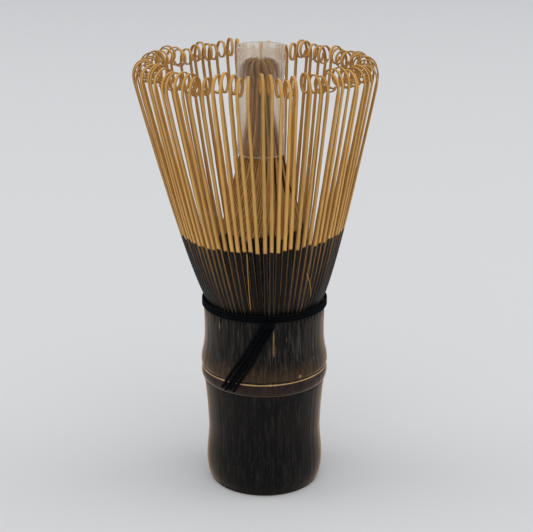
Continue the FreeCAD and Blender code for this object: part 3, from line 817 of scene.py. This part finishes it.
def inner_stem(depth):
    """(radius, height, twist, thickness, width) of an inner tine from its sunk root to its neck."""
    neck_radius = NECK_CORE_RADIUS + LAYER_PITCH * (TINES_PER_SECTOR - 1)
    core_radius = NECK_CORE_RADIUS + LAYER_PITCH * depth
    neck_width = NECK_CORE_WIDTH + LAYER_WIDENING * depth
    outline = [(INNER_ROOT_RADIUS, height, 0.0, INNER_ROOT_THICKNESS, INNER_ROOT_WIDTH)
               for height in np.linspace(COLLAR_TOP - ROOT_SINK, INNER_FOOT, INNER_FOOT_ROWS, endpoint=False)]
    for number in range(INNER_STEM_ROWS + 1):
        share = number / INNER_STEM_ROWS
        closing = (1 - share ** CLOSING_POWERS[0]) ** CLOSING_POWERS[1]
        gathering = ease((share - GATHER_START) / GATHER_SHARE)
        thinning = min(1, share / THINNING_SHARE) ** THINNING_POWER
        gathered = (neck_radius - core_radius) * gathering
        outline.append((mix(neck_radius, INNER_ROOT_RADIUS, closing) - gathered,
                        mix(INNER_FOOT, NECK_HEIGHT, share),
                        NECK_TWIST * ease(share),
                        mix(INNER_ROOT_THICKNESS, INNER_NECK_THICKNESS, thinning),
                        mix(INNER_ROOT_WIDTH, neck_width, ease(share / NARROWING_SHARE))))
    return outline


def inner_tip(depth, reach):
    """The same from the neck up, over the knob, and down its side if the tine reaches."""
    core_radius = NECK_CORE_RADIUS + LAYER_PITCH * depth
    neck_width = NECK_CORE_WIDTH + LAYER_WIDENING * depth
    shell_radius = KNOB_RADIUS - KNOB_SHELL_PITCH * depth
    shell_rise = KNOB_CROWN - KNOB_SHELL_PITCH * depth
    middle = (core_radius + shell_radius) / 2
    half_width = (shell_radius - core_radius) / 2
    up_share, over_share, down_share = SWIRL_SHARES
    outline = []
    for number in range(1, NECK_ROWS):
        share = number / NECK_ROWS
        outline.append((core_radius, mix(NECK_HEIGHT, KNOB_MIDDLE, share),
                        NECK_TWIST + KNOB_SWIRL * up_share * share, INNER_NECK_THICKNESS, neck_width))
    for turned in range(0, reach + 1, KNOB_ROW_STEP):
        over = math.radians(turned)
        outline.append((middle - half_width * math.cos(over),
                        KNOB_MIDDLE + shell_rise * math.sin(over),
                        NECK_TWIST + KNOB_SWIRL * (up_share + over_share * turned / 180),
                        INNER_NECK_THICKNESS,
                        mix(neck_width, KNOB_WIDTH, ease(turned / 90))))
    if reach == 180:
        for number in range(1, KNOB_TAIL_ROWS + 1):
            share = number / KNOB_TAIL_ROWS
            outline.append((shell_radius, KNOB_MIDDLE - KNOB_TAIL * share,
                            NECK_TWIST + KNOB_SWIRL * (up_share + over_share + down_share * share),
                            INNER_NECK_THICKNESS, KNOB_WIDTH * mix(1, KNOB_TIP_WIDTH_SHARE, share)))
    return outline


def inner_rows(index):
    """Rows of an inner tine: in to the neck, up, and over the knob if it reaches."""
    layer = index % TINES_PER_SECTOR
    depth = TINES_PER_SECTOR - 1 - layer
    angle = (index + 1) * PITCH
    rows = []
    for radius, height, twist, thickness, width in inner_stem(depth) + inner_tip(depth, KNOB_REACH[layer]):
        lean = max(0.0, (height - INNER_FOOT) / (NECK_HEIGHT - INNER_FOOT)) ** LEAN_POWER
        point = place(angle + twist, radius, height) + np.array([-BUNCH_DRIFT * lean, 0, 0])
        rows.append((point, tangential(angle + twist), thickness, width))
    return rows


def splinter_rows(angles, heights, bulge):
    """Rows of a loose fibre that lies on the outer tines."""
    rows = []
    for share in np.linspace(0, 1, SPLINTER_ROWS):
        angle = mix(*angles, share)
        height = mix(*heights, share)
        stem = stem_radius((height - SHOULDER) / STEM_HEIGHT)
        radius = stem + SPLINTER_LIFT + bulge * math.sin(math.pi * share)
        rows.append((place(angle, radius, height), tangential(angle), SPLINTER_THICKNESS,
                     mix(*SPLINTER_WIDTHS, share)))
    return rows


def bark_limit(angle):
    """Height up to which the bark is left on."""
    return BARK_TOP + BARK_RISE * max(0.0, math.sin(math.radians(angle))) ** 1.5


def make_tines(outer_finish, shaded_inner_finish):
    for number in range(SECTORS):
        outer = Strips()
        inner = Strips()
        for index in range(number * TINES_PER_SECTOR, (number + 1) * TINES_PER_SECTOR):
            ragged = random_source.uniform(-BARK_RAGGEDNESS, BARK_RAGGEDNESS)
            limit = bark_limit((index + 0.5) * PITCH) + ragged
            outer.add(outer_rows(index), limit, random_source.uniform())
            inner.add(inner_rows(index), limit + random_source.uniform(-0.2, 1.2), random_source.uniform())
        for sector_number, angles, heights, bulge in SPLINTERS:
            if sector_number == number:
                outer.add(splinter_rows(angles, heights, bulge), 0.0, random_source.uniform())
        label = f"{number + 1:02d}"
        middle = radial((number + 0.5) * PITCH * TINES_PER_SECTOR) * OUTER_ROOT_RADIUS
        sector = outer.make(f"outer_tines_look_{label}", outer_finish)
        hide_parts(f"outer_tines_{label}")
        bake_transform(sector, "handle", f"outer_sector_{label}", start=tuple((middle + UP * FLEX_FOOT) * MM),
                 end=tuple((middle + UP * FLEX_TOP) * MM))
        bunch = inner.make(f"inner_tines_look_{label}", shaded_inner_finish)
        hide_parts(f"inner_tines_{label}")
        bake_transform(bunch, "handle", "inner_bunch", start=(0, 0, FLEX_FOOT * MM), end=(0, 0, FLEX_TOP * MM))


# Thread

def ring_route(radius, node, wander, seed):
    """Middle of a closed turn of thread, at its CAD node's height."""
    low, high = node_box(node)
    height = (low[2] + high[2]) / 2
    lift = smooth_noise(TURN_STEPS, 40, seed) * wander
    return [place(360 * step / TURN_STEPS, radius, height + lift[step]) for step in range(TURN_STEPS)]


def tail_route(number):
    """Middle of one loose end, which hangs down over the collar and the node."""
    bottom = TAIL_BOTTOM + TAIL_ENDS_RAGGED[number]
    route = []
    for share in np.linspace(0, 1, 90):
        height = mix(TAIL_TOP, bottom, share)
        angle = mix(TAIL_STARTS[number], TAIL_ENDS[number], share ** TAIL_SWEEP_POWER)
        stand_off = TAIL_LIFT + TAIL_BOW * math.sin(math.pi * share)
        highest = max(outline_radius(np.array([height + step for step in (-0.8, -0.4, 0, 0.4, 0.8)])))
        route.append(place(angle, highest + stand_off, height))
    return route


def knot_parts():
    """Crossed loops of thread."""
    centre = (KNOT_LOW + KNOT_HIGH) / 2
    out = radial(KNOT_ANGLE)
    side = tangential(KNOT_ANGLE)
    reach = KNOT_HALF_WIDTH - 0.3
    rise = KNOT_HALF_HEIGHT - 0.3
    depth = KNOT_HALF_DEPTH - 0.27
    parts = []
    for tilt in KNOT_TILTS:
        lean = math.radians(tilt)
        along = side * math.cos(lean) * reach + UP * math.sin(lean) * rise
        loop = [centre + along * math.cos(turn) + out * (depth * math.sin(turn))
                for turn in np.linspace(0, 2 * math.pi, 36, endpoint=False)]
        parts.append(twisted_thread(loop, KNOT_THREAD_RADIUS, closed=True, lay=KNOT_LAY))
    return parts


def make_thread(finish):
    shapes = []
    for number in (1, 2, 3):
        node = f"thread_turn_{number}"
        route = ring_route(TURN_RADIUS, node, TURN_WANDER, 20 + number)
        shapes.append((f"thread_turn_look_{number}", node,
                       twisted_thread(route, THREAD_RADIUS * TURN_FULLNESS, closed=True)))
    route = ring_route(INNER_TURN_RADIUS, "thread_inner_turn", 0.0, 30)
    shapes.append(("thread_inner_turn_look", "thread_inner_turn",
                   twisted_thread(route, THREAD_RADIUS, closed=True)))
    shapes.append(("thread_knot_look", "thread_knot", join_parts(knot_parts())))
    for number in range(len(TAIL_ENDS)):
        shapes.append((f"thread_tail_look_{number + 1}", f"thread_tail_{number + 1}",
                       twisted_thread(tail_route(number), TAIL_RADIUS, lay=TAIL_LAY)))
    for name, node, (points, faces) in shapes:
        piece = make_object(name, points, faces, [finish])
        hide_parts(node)
        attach(piece, "handle")


# Film sleeve

def film_points(side, turned, heights, middle):
    """Grid of points on the film's inside, side 0, or its outside, side 1."""
    lap_start, lap_length = FILM_LAP_RISE
    points = []
    for height in heights:
        up_share = (height - heights[0]) / (heights[-1] - heights[0])
        for step in turned:
            lapped = (FILM_THICKNESS + FILM_LAP_GAP) * ease((step - lap_start) / lap_length)
            wave = FILM_WAVE * math.sin(math.radians(3 * step)) * up_share
            radius = FILM_BORE_RADIUS + FILM_THICKNESS * side + lapped + wave
            angle = FILM_FREE_EDGE + FILM_LAP - step
            points.append(place(angle, radius, height) + np.array([middle[0], 0, 0]))
    return points


def make_sleeve(finish, edge_highlight_finish):
    """Rolled film: one turn and a lap, with its free edge on the right."""
    middle = (SLEEVE_LOW + SLEEVE_HIGH) / 2
    bottom = SLEEVE_LOW[2]
    top = SLEEVE_HIGH[2]
    between = np.linspace(bottom + FILM_EDGE_WIDTH, top - FILM_EDGE_WIDTH, FILM_ROWS)
    heights = np.concatenate([[bottom], between, [top]])
    turned = np.linspace(0, 360 + FILM_LAP, FILM_COLUMNS)
    rows = len(heights)
    columns = len(turned)
    points = film_points(0, turned, heights, middle) + film_points(1, turned, heights, middle)
    inside = skin_rows(0, rows, columns, closed_columns=False)
    shift = rows * columns
    outside = [tuple(reversed(face)) for face in skin_rows(shift, rows, columns, closed_columns=False)]
    rim = []
    for row in (0, rows - 1):
        for column in range(columns - 1):
            here = row * columns + column
            rim.append((here, here + 1, here + 1 + shift, here + shift))
    for column in (0, columns - 1):
        for row in range(rows - 1):
            here = row * columns + column
            rim.append((here, here + columns, here + columns + shift, here + shift))
    # Faces next to the edges take the painted edge highlight
    sheet = [1 if row in (0, rows - 2) or column in (0, columns - 2) else 0
             for row in range(rows - 1) for column in range(columns - 1)]
    sleeve = make_object("film_sleeve_look", points, inside + outside + rim, [finish, edge_highlight_finish],
                         face_materials=sheet + sheet + [1] * len(rim))
    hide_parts("film_sleeve")
    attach(sleeve, "sleeve")


# Studio

def make_floor(finish):
    half = 4000.0
    points = [(-half, -half, 0), (half, -half, 0), (half, half, 0), (-half, half, 0)]
    floor = make_object("studio_floor", points, [(0, 1, 2, 3)], [finish])


def area_light(name, place_at, aim_at, width, height, power):
    light = bpy.data.lights.new(name, "AREA")
    light.shape = "RECTANGLE"
    light.size = width
    light.size_y = height
    light.energy = power
    lamp = bpy.data.objects.new(name, light)
    lamp.location = place_at
    lamp.rotation_euler = (Vector(aim_at) - Vector(place_at)).to_track_quat("-Z", "Y").to_euler()
    bpy.context.scene.collection.objects.link(lamp)


def make_studio():
    """Even pale surroundings with a large soft light above and one at each side, in metres and watts."""
    world = bpy.data.worlds.new("studio_world")
    bpy.context.scene.world = world
    world.use_nodes = True
    background = world.node_tree.nodes["Background"]
    background.inputs["Color"].default_value = (0.93, 0.96, 1.0, 1.0)
    background.inputs["Strength"].default_value = 0.57
    aim_at = (0, 0, 0.05)
    area_light("top_softbox", (0.1, -0.5, 2.2), aim_at, 2.2, 2.2, 13.0)
    area_light("left_softbox", (-1.3, 0.1, 0.6), aim_at, 1.0, 1.2, 4.0)
    area_light("right_softbox", (1.3, 0.1, 0.6), aim_at, 1.0, 1.2, 4.0)
    bpy.context.scene.view_settings.view_transform = "Standard"


def make_camera():
    """Long lens in front of the whisk, looking slightly down."""
    camera = bpy.data.cameras.new("camera")
    camera.lens = 88.56
    camera.sensor_width = 36
    camera.clip_start = 0.01
    holder = bpy.data.objects.new("camera", camera)
    holder.location = (0.0005, -0.30915, 0.15831)
    holder.rotation_euler = (math.radians(71.755), 0, 0)
    bpy.context.scene.collection.objects.link(holder)
    bpy.context.scene.camera = holder


make_culm(culm_material(), cut_material())
outer_bamboo = tine_material("split_bamboo", flesh=linear(232, 182, 104), dark_flesh=linear(186, 132, 64),
                             side_flesh=linear(196, 152, 100), bark_colour=linear(3, 3, 5))
# Darker copy of the tine finish for the inner tines: painted shade inside the ring of outer tines, darkest on
# their flesh below the bark line
shaded_inner_bamboo = tine_material("fine_split_bamboo_shaded", flesh=linear(204, 156, 90), dark_flesh=linear(114, 76, 32),
                             side_flesh=linear(48, 33, 20), bark_colour=linear(8, 7, 7))
make_tines(outer_bamboo, shaded_inner_bamboo)
make_thread(thread_material())
make_sleeve(film_material(), film_edge_highlight_material())
make_floor(floor_material())
make_studio()
make_camera()
